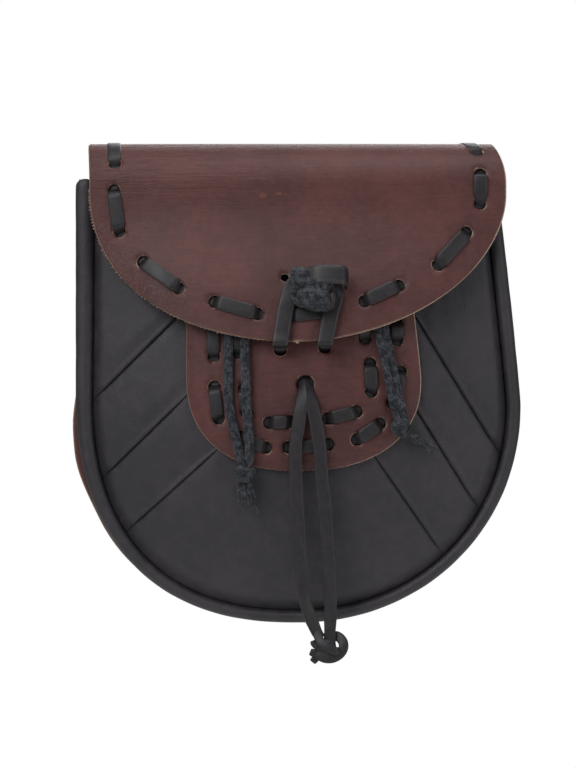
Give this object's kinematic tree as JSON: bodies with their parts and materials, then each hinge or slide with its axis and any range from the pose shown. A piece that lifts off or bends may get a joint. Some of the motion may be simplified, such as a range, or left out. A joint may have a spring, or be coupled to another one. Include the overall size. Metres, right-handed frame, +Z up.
{
  "type": "sporran pouch",
  "caption": "Round-bottomed leather belt pouch with pleated front, laced flap and bib, knot button, thongs and cords, hanging by loops on its back.",
  "frame": {"origin": "middle of the belt's path through the two loops on the back", "axes": "+Z up as it is worn, the front faces -Y, +X to the right of someone who looks at the front"},
  "size_m": [0.2018, 0.0862, 0.2339],
  "materials": {
    "burgundy_leather": "satin brown leather with raw tan edges",
    "black_leather": "soft black garment leather",
    "black_lace": "smooth flat black leather lace",
    "suede_cord": "napped blue-black suede"
  },
  "bodies": {
    "root": {"back_and_flap": "burgundy_leather", "bib": "burgundy_leather", "belt_loop_left": "burgundy_leather", "belt_loop_right": "burgundy_leather", "front_panel": "black_leather", "gusset": "black_leather", "edge_binding": "black_leather", "flap_lace": "black_lace", "bib_outer_lace": "black_lace", "bib_inner_lace": "black_lace", "closure_loop": "black_lace", "knot_button": "black_lace", "thong_left": "black_lace", "thong_right": "black_lace", "thong_knot": "black_lace", "cord_left_a": "suede_cord", "cord_left_b": "suede_cord", "cord_left_knot": "suede_cord", "cord_right_a": "suede_cord", "cord_right_b": "suede_cord", "cord_right_knot": "suede_cord"}
  },
  "joints": []
}
